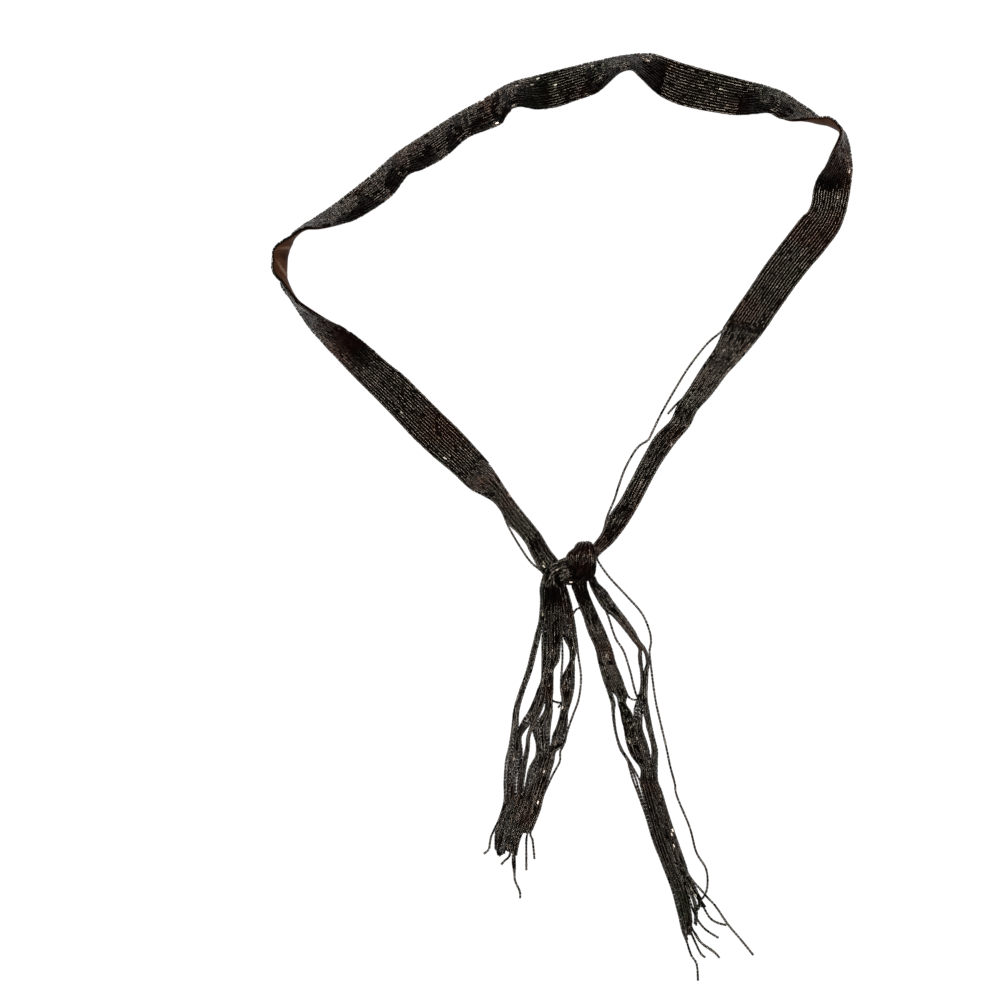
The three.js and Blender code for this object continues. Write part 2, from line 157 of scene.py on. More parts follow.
# The locks of strands below the knot: the number of strands, and the lock's sections from the knot to the
# tips, each with its right side x, y and left side x, y. Where both sides have the same y a section is its
# right x, left x and y, and in a lock of one strand it is x, y.
LEFT_TASSEL = [
    (1, [
        (3, -48), (6.5, -59), (9, -72), (11, -86), (12, -96), (14, -111.5), (12.5, -126.5), (8.5, -138),
        (5, -148), (2, -158.5), (-0.5, -164), (-1, -171), (-6.5, -181.5), (-12.5, -195), (-14.5, -203.5),
        (-18.5, -214), (-21.5, -221), (-20, -225.5), (-19, -234), (-18.5, -240.5),
    ]),
    (9, [
        (3, -2.5, -48), (6.5, -0.5, -59), (9, 0.5, -72), (10, 1.5, -83), (11, 5.5, -91.5), (9.5, 6, -100),
        (9.5, 3, -107), (9.5, 0, -113.5), (9, 0, -120.5), (7.5, 1, -127.5), (5, 0, -136),
        (4.5, -2.5, -144.5), (4, -5.5, -153), (2.5, -6.5, -158.5), (-3.5, -10, -164), (-5, -11, -171),
        (-8, -14.5, -181), (-11, -18, -191), (-14.5, -21.5, -203.5), (-18.5, -25, -214.5),
        (-21, -26.5, -221.5),
    ]),
    (1, [
        (-2, -48), (-0.5, -59), (0, -72), (0.5, -83), (1, -91.5), (1, -100), (0.5, -107), (0, -113.5),
        (0, -120.5), (1, -127.5), (0, -136), (-2, -144.5), (-5.5, -153), (-6.5, -158.5), (-9, -164),
        (-11, -171), (-14.5, -181), (-18, -191), (-21.5, -203.5), (-25, -214.5), (-27.5, -221.5),
    ]),
    (9, [
        (-2.5, -7.5, -48), (-0.5, -6.5, -59), (-0.5, -6, -72), (0, -6.5, -83), (-0.5, -6.5, -91.5),
        (-1.5, -7, -100), (-5, -9, -106), (-5.5, -9.5, -113.5), (-5.5, -10, -120.5), (-6, -11, -127.5),
        (-6, -12, -136), (-7.5, -19.5, -147.5), (-8, -17.5, -158.5), (-8.5, -18, -167),
        (-10.5, -22.5, -175.5), (-14, -25, -186.5), (-18, -27.5, -198), (-21.5, -31, -209),
        (-26.5, -33, -220), (-29.5, -35, -228.5), (-31, -36.5, -237),
    ]),
    (4, [
        (-7.5, -10, -48), (-6.5, -8.5, -59), (-6, -8.5, -72), (-6.5, -9, -86), (-7, -9.5, -100),
        (-9.5, -11.5, -113.5), (-10, -13, -120.5), (-11, -14, -127.5), (-14, -17, -136), (-18, -21, -144.5),
        (-21.5, -24, -153), (-22, -24.5, -158.5), (-22.5, -25.5, -164), (-24.5, -28.5, -175.5),
        (-26, -29.5, -186.5), (-27.5, -31, -198), (-31, -34.5, -209), (-33.5, -37, -220),
        (-36.5, -39, -234),
    ]),
    (5, [
        (-10, -12, -48), (-8.5, -12, -59), (-8.5, -12.5, -72), (-9, -13.5, -86), (-9.5, -13.5, -100),
        (-11.5, -14, -113.5), (-13, -16.5, -120.5), (-14, -19, -127.5), (-17, -23, -136),
        (-20.5, -27.5, -143), (-27.5, -31.5, -153), (-27, -32.5, -164), (-28, -34.5, -175.5),
        (-28.5, -35, -186.5), (-30, -35.5, -198), (-34.5, -39, -209), (-37, -42.5, -220), (-39, -45, -232),
        (-39.5, -44, -237.5),
    ]),
    (4, [
        (-12, -14.5, -48), (-12, -14.5, -59), (-12.5, -15.5, -72), (-14.5, -83.5, -18, -82),
        (-17.5, -95.5, -21, -94), (-20.5, -107.5, -24, -106), (-25.5, -121.5, -29, -120.5),
        (-29, -134, -33, -133.5), (-30, -34.5, -146.5), (-31.5, -36.5, -160), (-33.5, -39, -171),
        (-35, -40, -186.5), (-35.5, -40, -198), (-39, -43, -209), (-42.5, -47, -220), (-44, -47, -230),
        (-44, -47, -234),
    ]),
]
RIGHT_TASSEL = [
    (7, [
        (25, 20.5, -42.5), (27, 22, -46.5), (33, 25.5, -52), (36.5, 28.5, -57.5), (41, 33, -63.5),
        (45, 39, -69), (49, 43.5, -74.5), (52.5, 48, -80), (55.5, 52, -86), (59.5, 56.5, -91.5),
        (61.5, 59, -97), (62, 59.5, -102.5), (61.5, 58, -108), (61, 57.5, -119.5), (61, 57.5, -127.5),
        (62.5, 57.5, -136), (63.5, 59, -142), (64.5, 60, -147.5), (66, 62, -154.5), (68, 63.5, -163),
        (68, 63, -171), (68.5, 64, -184), (71.5, 67, -192), (76.5, 72, -209), (82, 77, -225.5),
        (88, 83.5, -242.5), (91, 86.5, -251), (96.5, 90.5, -259.5), (100, 94, -265), (101, 96, -269),
        (100, 95, -275.5),
    ]),
    (1, [
        (21, -44), (25, -52), (30, -60.5), (31.5, -65.5), (33.5, -70.5), (36.5, -80), (39, -86), (44, -94),
        (48.5, -108), (50.5, -116.5), (52.5, -123.5), (55, -129), (56.5, -136), (56.5, -147.5),
        (60, -158.5), (62, -167), (64.5, -184), (69, -198), (72, -209), (77, -225.5), (83.5, -242.5),
        (90.5, -259.5), (93, -268),
    ]),
    (4, [
        (20.5, 19, -42.5), (21.5, 20, -46.5), (25.5, 22.5, -52), (28.5, 25.5, -57.5), (32.5, 29.5, -63.5),
        (38.5, 36, -69), (43.5, 41, -74.5), (48, 45.5, -80), (52, 50, -86), (56, 54, -91.5),
        (56.5, 54, -97), (57, 54.5, -102.5), (57.5, 55.5, -108), (57.5, 55.5, -119.5), (57.5, 53, -127.5),
        (56.5, 51, -136), (56.5, 52.5, -147.5), (59.5, 55.5, -158.5), (61.5, 57.5, -167), (64, 60.5, -184),
        (68.5, 64.5, -198), (72, 68, -209), (77, 73, -225.5), (83.5, 79, -242.5), (90.5, 86, -259.5),
        (95, 89, -270.5), (95.5, 90.5, -279), (95, 91, -286),
    ]),
    (16, [
        (18, 10, -48), (19, 11, -52), (21, 13.5, -57.5), (26, 17.5, -69), (31, 21.5, -80),
        (35.5, 26, -91.5), (38.5, 29, -102.5), (43, 32, -113.5), (45, 35, -120.5), (46, 39, -125.5),
        (45.5, 40, -130.5), (49, 41.5, -136), (51.5, 42.5, -142), (52.5, 44, -147.5), (56, 46, -158.5),
        (58, 49.5, -167), (60, 55.5, -175.5), (61, 55.5, -184), (63.5, 57.5, -192), (68, 62.5, -209),
        (73, 67, -225.5), (79, 73, -242.5), (86, 80, -259.5), (90.5, 84, -276), (91.5, 85.5, -284.5),
        (91, 87, -293),
    ]),
    (3, [
        (10, 7.5, -48), (11, 9, -52), (13.5, 11, -57.5), (17.5, 15.5, -69), (21.5, 19, -80),
        (26, 24, -91.5), (29, 26.5, -102.5), (32, 29.5, -113.5), (35, 32, -120.5), (38, 35, -130.5),
        (37.5, 35.5, -136), (38.5, 37, -147.5), (40.5, 39, -156), (43.5, 41.5, -163), (48, 46, -170),
        (51, 47.5, -175.5), (55.5, 50, -184), (57.5, 53, -192), (62.5, 59, -209), (67, 64, -225.5),
        (73, 70.5, -242.5), (80, 77, -259.5), (84.5, 81.5, -276), (87.5, 84.5, -289), (89, 87, -297),
    ]),
]

# How many sections through the knot the outermost strand follows, and its own way from there, at the
# knot's right side and apart from the right tassel.
KNOT_SECTIONS_KEPT = 7
OUTER_STRAND = [
    (24, -21.5, 7), (25, -27.5, 3.5), (26.5, -31.5, 0.8), (34, -42, 0.8), (46.5, -55.5, 0.8),
    (56.5, -67, 0.8), (61.8, -79, 0.8), (63, -87, 0.8), (62, -94, 0.8), (63.2, -106, 0.8),
    (66, -127, 0.8), (69.5, -143, 0.8), (73.5, -160, 0.8), (76.5, -174.5, 0.8), (79.6, -186, 0.8),
    (81.1, -195, 0.8), (90.1, -217, 0.8), (94.6, -234, 0.8), (101.1, -245, 0.8), (102.6, -254, 0.8),
    (101.6, -262, 1.2), (98.1, -268, 2.5),
]

# Strands that lie apart from their run before they join it again.
LOOSE_IN_LEFT_RUN = [
    (-46.2, 11), (-41.2, 4), (-36.7, -6.5), (-30.2, -18), (-21.7, -30.5), (-14.2, -37),
]
LOOSE_IN_RIGHT_RUN = [
    (116.5, 135.5), (112.9, 130.7), (104.4, 123.7), (96.9, 115.2), (88.4, 103.7), (80.4, 90.7),
    (72.9, 77.7), (67.9, 68.2), (63.4, 58.7), (60.9, 54.2), (54.9, 50.2), (49.9, 43.7), (44.4, 33.2),
    (40.4, 22.2), (37.4, 12.7), (32.4, 0.7),
]

# Tips that leave their lock: the tassel, the lock, the strand in it, and the way of its last stretch.
LEFT_TIPS = [
    (6, 3, [(-46.3, -217.5), (-48.8, -223), (-49.8, -228), (-50.8, -232.5), (-54.8, -236)]),
    (3, 7, [(-36.3, -237), (-39.3, -240), (-42.8, -244)]),
    (3, 4, [(-32.3, -239.5), (-32.3, -244.5), (-32.3, -253.5), (-28.8, -262), (-28.8, -268.5)]),
    (3, 5, [(-33.8, -239.5), (-33.3, -245), (-32.3, -251)]),
    (1, 4, [(-24.3, -227), (-24.3, -236), (-24.3, -247.5)]),
]
RIGHT_TIPS = [
    (0, 1, [(100, -263), (103, -266.5), (108.5, -272.5), (117, -285), (125.5, -295), (136, -308)]),
    (0, 2, [(97.5, -268), (101, -275), (105, -281), (110.5, -284), (117, -285.5)]),
    (0, 4, [(98, -268), (100, -271), (103, -275)]),
    (2, 2, [(93, -276), (96.5, -283), (102, -289), (111.5, -295)]),
    (3, 1, [(91, -286), (93, -290), (97.5, -297), (106.5, -303.5), (112.5, -310)]),
    (3, 3, [(91.5, -287), (94.5, -292), (99, -298.5), (107.5, -304.5), (111.5, -308.5)]),
    (3, 4, [(90.5, -289), (94.5, -298.5), (98.5, -306), (103.5, -309)]),
    (4, 2, [(88, -297), (91, -306), (95, -313), (96, -326)]),
]

# Short strays: the piece that each belongs to, and its points x, y, z.
STRAYS = [
    ("left_tassel", [(16, -67, 2.5), (12.5, -63.5, 2), (9, -66.5, 3), (7, -72, 3.5)]),
    ("left_tassel", [
        (-7, -127.5, 3), (-4, -129, 2), (-0.5, -130, 1), (-1.5, -132.5, 0.8), (-4, -133.5, 0.8),
    ]),
    ("right_tassel", [
        (44, -118, 3), (47, -125, 1), (50.5, -127.5, 0.8), (54, -126.5, 1.5), (56, -120.5, 3),
    ]),
    ("right_run", [(85.5, 83.5, 3), (80.5, 79, 1.2), (76.5, 74.5, 0.8), (73, 70.5, 0.8)]),
]


def smooth_track(rows, shares):
    """Points of a smooth curve through the rows; shares from 0 to 1 count the rows evenly."""
    rows = np.asarray(rows, float)
    padded = np.vstack([2 * rows[0] - rows[1], rows, 2 * rows[-1] - rows[-2]])
    place = np.clip(np.asarray(shares, float), 0, 1) * (len(rows) - 1)
    first = np.minimum(place.astype(int), len(rows) - 2)
    w = (place - first)[:, None]
    before, here, after, beyond = (padded[first + k] for k in range(4))
    slope_here = 0.5 * (after - before)
    slope_after = 0.5 * (beyond - here)
    curve = (3 * (after - here) - 2 * slope_here - slope_after) * w**2
    curve += (2 * (here - after) + slope_here + slope_after) * w**3
    return here + slope_here * w + curve


def unit(vectors):
    return vectors / np.linalg.norm(vectors, axis=-1, keepdims=True)


def towards_loop(t):
    """The level direction across the strip, from its outer side to the inside of the loop."""
    step = 0.002
    ahead = smooth_track(STRIP_GUIDES, np.minimum(1, t + step))
    behind = smooth_track(STRIP_GUIDES, np.maximum(0, t - step))
    heading = (ahead[:, 0:2] + ahead[:, 2:4]) - (behind[:, 0:2] + behind[:, 2:4])
    return unit(np.stack([heading[:, 1], -heading[:, 0], 0 * t], axis=1))


def strip_points(t, u):
    """The strip's underside at every t along it and u across it, a conic between its edges."""
    guide = smooth_track(STRIP_GUIDES, t)
    flat = 0 * t
    outer = np.stack([guide[:, 0], guide[:, 1], flat], axis=1)
    inner = np.stack([guide[:, 2], guide[:, 3], np.maximum(0, guide[:, 4])], axis=1)
    inner = inner + towards_loop(t) * INNER_EASE
    control = (outer + inner) / 2 + towards_loop(t) * 2 * np.maximum(0, guide[:, 6:7])
    control[:, 2] += 2 * np.maximum(0, guide[:, 5])
    u = u[None, :, None]
    return outer[:, None] * (1 - u) ** 2 + control[:, None] * 2 * u * (1 - u) + inner[:, None] * u**2


def strip_normals(t, u):
    along = strip_points(np.minimum(1, t + 0.003), u) - strip_points(np.maximum(0, t - 0.003), u)
    across = strip_points(t, np.minimum(1, u + 0.02)) - strip_points(t, np.maximum(0, u - 0.02))
    return unit(np.cross(across, along))


def face_top(u):
    return FACE_UNDERSIDE + FACE_EDGE_THICKNESS + FACE_FULLNESS * (1 - np.abs(2 * u - 1) ** 3)


def settled_strip(t, u):
    """The strip's underside and normals, squeezed and raised to keep the beads to the guides' outline."""
    across = towards_loop(t)[:, None]
    shares = np.concatenate([[0], np.linspace(LINING_INSET, 1 - LINING_INSET, 6), [1]])
    bare = strip_points(t, shares)
    beaded = bare + strip_normals(t, shares) * face_top(shares)[None, :, None]
    bare_reach = (bare * across).sum(axis=2)
    beaded_reach = (beaded * across).sum(axis=2)
    start = bare_reach.min(axis=1)
    end = bare_reach.max(axis=1)
    outer_excess = start - np.minimum(start, beaded_reach.min(axis=1))
    inner_excess = np.maximum(end, beaded_reach.max(axis=1)) - end
    rise = -np.minimum(0, np.minimum(bare[:, :, 2].min(axis=1), beaded[:, :, 2].min(axis=1)))
    foot = strip_points(t, u)
    normal = strip_normals(t, u)
    share = ((foot * across).sum(axis=2) - start[:, None]) / (end - start)[:, None]
    shift = outer_excess[:, None] * (1 - share) - inner_excess[:, None] * share
    foot = foot + across * shift[:, :, None]
    foot[:, :, 2] += rise[:, None]
    return foot, normal


# Soft puckers across the beadwork: the x, y where each starts, the x, y where it ends, half its width, and
# its depth.
PUCKERS = [
    (-116, 254, -106, 240, 3.2, 1.5), (-119.5, 250, -110, 236.5, 3.5, -1),
    (-71, 284, -66, 266, 3.2, 1.5), (-76.5, 280, -72, 263, 3.5, -1.1),
    (-43, 301, -37, 284, 3.2, 1.5), (-48.5, 298, -43, 281, 3.5, -1.2),
    (29, 320, 33, 303, 3.2, 1.5), (23, 318, 27, 300, 3.5, -1.2), (45, 322, 44, 309, 3.5, -0.8),
    (58, 324, 55, 309, 4.5, 1.2), (145, 301, 146, 284, 3.5, 1.2), (139, 301, 139, 284, 3.5, -0.5),
    (151, 297, 152, 280, 3, -0.9), (178, 238, 202, 238, 4, 0.5), (-143, 231, -127, 219, 5, 0.9),
    (-92, 268, -86, 250, 5, 0.9), (100, 313, 94, 288, 6, 0.6), (150, 145, 134, 158, 6, 0.5),
    (-104, 56, -86, 72, 6, 0.5),
]
# Creases in the satin where it faces up at the turns: the same six numbers; here a depth above 0 is a
# ridge.
SATIN_CREASES = [
    (-200, 187.5, -190.5, 188.5, 1, 0.8), (-198, 184, -190, 181.5, 2.6, -0.3),
    (-199.5, 181, -192, 169.5, 1, 0.8), (-196, 172, -190, 167, 1.6, -0.1),
    (-196, 194, -188, 196, 1.4, 0.4), (178, 280, 190, 275.5, 1.5, 0.3), (188, 278, 194, 272, 1.5, -0.2),
]


def dents(points, shares, creases):
    """How deep each point lies in the creases, by its distance to them in plan; 0 at the strip's edges."""
    depth = np.zeros(points.shape[:-1])
    for x0, y0, x1, y1, width, most in creases:
        start = np.array([x0, y0])
        run = np.array([x1, y1]) - start
        offset = points[..., :2] - start
        share = np.clip((offset @ run) / (run @ run), 0, 1)
        distance = np.linalg.norm(offset - share[..., None] * run, axis=-1)
        depth += most * np.exp(-((distance / width) ** 2))
    return depth * (1 - np.abs(2 * shares - 1) ** 2.5)


def mesh_object(name, points, faces):
    """A smooth-shaded mesh object from points in millimetres."""
    mesh = bpy.data.meshes.new(name)
    mesh.from_pydata((np.asarray(points) * MM).tolist(), [], np.asarray(faces).tolist())
    mesh.shade_smooth()
    mesh.validate()
    piece = bpy.data.objects.new(name, mesh)
    bpy.context.collection.objects.link(piece)
    return piece


def apply_modifier(piece, kind, **settings):
    modifier = piece.modifiers.new(kind.title(), kind)
    for key, value in settings.items():
        setattr(modifier, key, value)
    bpy.ops.object.select_all(action="DESELECT")
    piece.select_set(True)
    bpy.context.view_layer.objects.active = piece
    bpy.ops.object.modifier_apply(modifier=modifier.name)


def cloth_sheet(name, t, shares, height, thickness, creases, crumple):
    """A thin closed sheet on the strip's form; height(t) gives its underside's height over the strip's."""
    foot, normal = settled_strip(t, shares)
    lift = height(t)[:, None] - dents(foot, shares, creases) + crumple(t, shares)
    points = (foot + normal * lift[:, :, None]).reshape(-1, 3)
    rows, columns = len(t), len(shares)
    corner = (np.arange(rows - 1)[:, None] * columns + np.arange(columns - 1)[None]).ravel()
    faces = np.stack([corner, corner + columns, corner + columns + 1, corner + 1], axis=1)
    sheet = mesh_object(name, points, faces)
    apply_modifier(sheet, "SOLIDIFY", thickness=thickness * MM, offset=-1, use_even_offset=False)
    # The sheet's own lengthwise and crosswise places, for its weave.
    place = np.empty((len(sheet.data.vertices), 3))
    along = np.cumsum(np.r_[0, np.linalg.norm(np.diff(foot[:, columns // 2], axis=0), axis=1)])
    grid = np.stack(np.broadcast_arrays(along[:, None], shares[None] * STRIP_WIDTH, 0.0), axis=2)
    grid = grid.reshape(-1, 3)
    place[: len(grid)] = grid
    place[len(grid):] = grid[: len(place) - len(grid)]
    attribute = sheet.data.attributes.new("weave_place", "FLOAT_VECTOR", "POINT")
    attribute.data.foreach_set("vector", (place * MM).ravel())
    # The creases' depth at each point, which the satin's material turns into painted highlight on ridges and
    # painted shade in hollows.
    fold = dents(foot, shares, creases).ravel()
    fold = np.concatenate([fold, fold])[: len(place)]
    sheet.data.attributes.new("fold", "FLOAT", "POINT").data.foreach_set("value", fold)
    return sheet


def lining_height(t):
    """The satin lies on the surface, and close under the beads where the strip stands up at its turns."""
    rise = np.zeros(len(t))
    for turn in TURNS:
        rise += 0.5 * np.exp(-(((t - turn) / 0.048) ** 4))
    return 0.12 + rise


def model_bead():
    """One bugle bead along Z, a glass tube with rounded ends: its points in millimetres and its faces."""
    bpy.ops.object.select_all(action="DESELECT")
    bpy.ops.mesh.primitive_cylinder_add(
        vertices=BEAD_SIDES, radius=BEAD_DIAMETER / 2, depth=BEAD_LENGTH - 2 * BEAD_END,
        end_fill_type="NGON",
    )
    bead = bpy.context.object
    bpy.ops.object.mode_set(mode="EDIT")
    bpy.ops.mesh.select_mode(type="FACE")
    for end in (-1, 1):
        bpy.ops.mesh.select_all(action="DESELECT")
        bpy.ops.object.mode_set(mode="OBJECT")
        for face in bead.data.polygons:
            face.select = face.normal.z * end > 0.9
        bpy.ops.object.mode_set(mode="EDIT")
        bpy.ops.mesh.extrude_region_move(TRANSFORM_OT_translate={"value": (0, 0, end * BEAD_END)})
        hole_scale = BEAD_HOLE / BEAD_DIAMETER
        bpy.ops.transform.resize(value=(hole_scale, hole_scale, 1), center_override=(0, 0, 0))
    bpy.ops.object.mode_set(mode="OBJECT")
    for face in bead.data.polygons:
        face.select = abs(face.normal.z) > 0.99
    bpy.ops.object.mode_set(mode="EDIT")
    bpy.ops.mesh.bridge_edge_loops()
    bpy.ops.mesh.select_all(action="SELECT")
    bpy.ops.mesh.normals_make_consistent(inside=False)
    bpy.ops.object.mode_set(mode="OBJECT")
    points = np.array([vertex.co for vertex in bead.data.vertices])
    faces = np.array([face.vertices for face in bead.data.polygons])
    bpy.data.objects.remove(bead)
    return points, faces


def strung(name, bead, places, axes, ups, rng):
    """Copies of the bead joined in one mesh, each at its place and along its axis."""
    points, faces = bead
    sides = unit(np.cross(ups, axes))
    ups = np.cross(axes, sides)
    turns = rng.uniform(0, 2 * np.pi / BEAD_SIDES, len(places))[:, None]
    first = sides * np.cos(turns) + ups * np.sin(turns)
    second = np.cross(axes, first)
    girth = rng.normal(1, GIRTH_SPREAD, len(places))[:, None, None]
    length = rng.normal(1, LENGTH_SPREAD, len(places))[:, None, None]
    copies = (
        places[:, None]
        + girth * (points[None, :, 0:1] * first[:, None] + points[None, :, 1:2] * second[:, None])
        + length * points[None, :, 2:3] * axes[:, None]
    )
    starts = (np.arange(len(places)) * len(points))[:, None, None]
    piece = mesh_object(name, copies.reshape(-1, 3), (faces[None] + starts).reshape(-1, 4))
    # Each side of a bead is straight along its length, and smooth round it unless the bead is cut.
    edges = np.empty(len(piece.data.edges) * 2, int)
    piece.data.edges.foreach_get("vertices", edges)
    edges = edges.reshape(-1, 2)
    local = edges % len(points)
    rim = np.abs(points[:, 2]) < BEAD_LENGTH / 2 - 0.5 * BEAD_END
    sharp = rim[local].all(axis=1) & (points[local[:, 0], 2] * points[local[:, 1], 2] > 0)
    cut = rng.random(len(places)) < CUT_SHARE
    sharp |= cut[edges[:, 0] // len(points)]
    piece.data.attributes.new("sharp_edge", "BOOLEAN", "EDGE").data.foreach_set("value", sharp)
    lots = piece.data.attributes.new("lot", "FLOAT", "POINT")
    lots.data.foreach_set("value", np.repeat(rng.random(len(places)), len(points)))
    return piece


def along_track(track, pitch, first):
    """The distances of evenly spaced beads along a track of points, and the distance at each point."""
    distance = np.r_[0, np.cumsum(np.linalg.norm(np.diff(track, axis=0), axis=1))]
    return np.arange(first, distance[-1] - pitch / 2, pitch), distance


def at_distances(values, distance, wanted):
    return np.stack([np.interp(wanted, distance, values[:, k]) for k in range(values.shape[1])], axis=1)


def tilted(axes, ups, rng, amount):
    """The axes, each turned a little, as beads sit on their stitches."""
    sides = np.cross(axes, ups)
    nudge = rng.normal(0, amount, (2, len(axes), 1))
    return unit(axes + sides * nudge[0] + ups * nudge[1] * 0.6)


def bead_rows(rng):
    """The lengthwise rows of beads on the strip, as places, axes and ups by row."""
    t = np.linspace(0, 1, STRIP_STEPS)
    u = np.linspace(0, 1, STRIP_SHARES)
    foot, normal = settled_strip(t, u)
    height = FACE_UNDERSIDE + GROUND_THICKNESS + BEAD_DIAMETER / 2 - dents(foot, u, PUCKERS)
    surface = foot + normal * height[:, :, None]
    steps = np.linalg.norm(np.diff(surface, axis=1), axis=2)
    reach = np.concatenate([np.zeros((len(t), 1)), np.cumsum(steps, axis=1)], axis=1)
    rows = []
    for row in range(BEAD_ROWS):
        share = (row + FIRST_ROW) / (BEAD_ROWS - ROWS_CLOSED)
        wander = 0.1 * np.sin(t * 60 + rng.uniform(0, 7))
        wander = wander + 0.08 * np.sin(t * 170 + rng.uniform(0, 7))
        wanted = np.clip(reach[:, -1] * share + wander, 0, reach[:, -1])
        both = np.concatenate([surface, normal], axis=2)
        track = np.array([
            [np.interp(wanted[i], reach[i], both[i, :, k]) for k in range(6)] for i in range(len(t))
        ])
        wanted_along, distance = along_track(track[:, :3], ROW_PITCH_ALONG, rng.uniform(0.8, 3.2))
        wanted_along = wanted_along + rng.normal(0, 0.1, len(wanted_along))
        sewn = (wanted_along > SEWN_END + rng.uniform(-1.5, 1)) & (
            wanted_along < distance[-1] - SEWN_END - rng.uniform(-1, 1.5)
        )
        wanted_along = wanted_along[sewn & (rng.random(len(wanted_along)) > LOST_SHARE)]
        places = at_distances(track[:, :3], distance, wanted_along)
        ups = unit(at_distances(track[:, 3:], distance, wanted_along))
        ahead = at_distances(track[:, :3], distance, wanted_along + 0.6)
        axes = unit(ahead - at_distances(track[:, :3], distance, wanted_along - 0.6))
        sides = np.cross(axes, ups)
        places = places + sides * rng.normal(0, 0.06, (len(places), 1))
        places = places + ups * rng.normal(0, 0.06, (len(places), 1))
        rows.append((places, tilted(axes, ups, rng, ROW_TILT), ups))
    return rows


def both_sides(row):
    """The right side x, y and left side x, y of a lock's section."""
    if len(row) == 2:
        return row * 2
    if len(row) == 3:
        return row[0], row[2], row[1], row[2]
    return row


def bundle_sections(run, knot, lock):
    """A lock's sections in one table: both sides x, y, z, the heap's depth, and 0 run, 1 knot, 2 tassel."""
    x0, y0, x1, y1, heap = run[0]
    after = run[1]
    heading = np.array([after[0] + after[2] - x0 - x1, after[1] + after[3] - y0 - y1])
    heading /= np.hypot(*heading)
    back = heading * SEWN_END
    on_cloth = FACE_UNDERSIDE + GROUND_THICKNESS + SEWN_HEIGHT
    sections = [
        (x0 - back[0], y0 - back[1], on_cloth, x1 - back[0], y1 - back[1], on_cloth, SEWN_HEAP, 0)
    ]
    for number, (x0, y0, x1, y1, heap) in enumerate(run):
        rise = (1.3, 0.5)[number] if number < 2 else 0
        heap = heap + min(1.2, 0.8 + 0.2 * number)
        sections.append((x0, y0, heap / 2 + rise, x1, y1, heap / 2 + rise, heap, 0))
    for row in knot:
        sections.append((*row, 1))
    fall = 0.0
    last = None
    for row in lock:
        x0, y0, x1, y1 = both_sides(row)
        if last is not None:
            fall += np.hypot(x0 - last[0], y0 - last[1])
        last = (x0, y0)
        heap = TASSEL_HEAP + 2.2 * np.exp(-fall / 14)
        rise = 3.0 * np.exp(-fall / 10)
        if len(row) == 2:
            heap = 2 * STRAND_REST
        sections.append((x0, y0, heap / 2 + rise, x1, y1, heap / 2 + rise, heap, 2))
    return np.array(sections)


# How strands pile where a lock is too narrow for them side by side: their heights in the heap, in order, for
# one layer, two, and so on.
PILES = (
    (0.5,), (1.0, 0.0), (1.0, 0.0, 0.5), (1.0, 0.1, 0.6, 0.3), (1.0, 0.15, 0.6, 0.0, 0.35),
    (1.0, 0.15, 0.55, 0.0, 0.4, 0.2),
)


def strand_track(sections, in_bundle, in_lock, lane, rng, tip):
    """A strand's way through its sections, with its own slow sway, and the stretch each point is in.

    in_bundle and in_lock give the strand's place across, its number, and the number of strands."""
    left, right, heap, kind = sections[:, 0:3], sections[:, 3:6], sections[:, 6], sections[:, 7]
    middle = (left + right) / 2
    heading = np.gradient(middle, axis=0)
    across = right - left
    width = np.linalg.norm(across, axis=1)
    up = np.tile([0.0, 0.0, 1.0], (len(sections), 1))
    in_knot = kind == 1
    up[in_knot] = unit(np.cross(across[in_knot], heading[in_knot]))
    walked = np.r_[0, np.cumsum(np.linalg.norm(np.diff(middle, axis=0), axis=1))]
    sway = np.zeros(len(sections))
    bob = np.zeros(len(sections))
    for wavelength, size in ((31, 0.14), (58, 0.22), (105, 0.28)):
        sway += size * np.sin(walked * 2 * np.pi / wavelength + rng.uniform(0, 7))
        bob += 0.05 * np.sin(walked * 2 * np.pi / wavelength + rng.uniform(0, 7))
    messy = 1 + 0.8 * np.clip((walked - MESSY_FROM) / MESSY_OVER, 0, 1)
    bob = bob * (1 + in_knot)
    place = np.where(kind == 2, in_lock[0], in_bundle[0])
    straight = np.maximum(np.linalg.norm(np.cross(across, unit(heading)), axis=1), 0.5)
    layer = np.empty(len(sections))
    for i in range(len(sections)):
        number, count = (in_lock if kind[i] == 2 else in_bundle)[1:]
        pile = PILES[int(np.clip(np.ceil(count * PILE_PITCH / straight[i]), 1, len(PILES))) - 1]
        layer[i] = pile[number % len(pile)]
    room = np.maximum(width, 0.01)
    margin = np.minimum(0.5, 0.27 * BEAD_DIAMETER / room)
    place = margin + place * (1 - 2 * margin)
    place = np.clip(place + sway * messy * lane / np.maximum(room, 2), margin, 1 - margin)
    place = np.where(width < 0.01, 0.5, place)
    depth = np.clip(layer - 0.5 + bob, -0.5, 0.5)
    spare = np.maximum(0, heap - BEAD_DIAMETER)
    points = left + across * place[:, None] + up * (depth * spare)[:, None]
    points[:, 2] = np.maximum(points[:, 2], STRAND_REST - 0.05)
    where = kind.copy()
    if tip is not None:
        keep = ~((kind == 2) & (points[:, 1] < tip[0][1] + 4))
        ends = np.array([(x, y, STRAND_REST) for x, y in tip])
        ends[0, 2] += 1.2
        points = np.vstack([points[keep], ends])
        where = np.r_[where[keep], np.full(len(ends), 2)]
    return points, where


def replace_start(points, where, route, kept_from):
    """The strand with a way of its own up to one of its sections."""
    start = np.array([(x, y, STRAND_REST) for x, y in route])
    start[0, 2] = points[0, 2]
    start[-1, 2] += 1.0
    return np.vstack([start, points[kept_from:]]), np.r_[np.zeros(len(start)), where[kept_from:]]


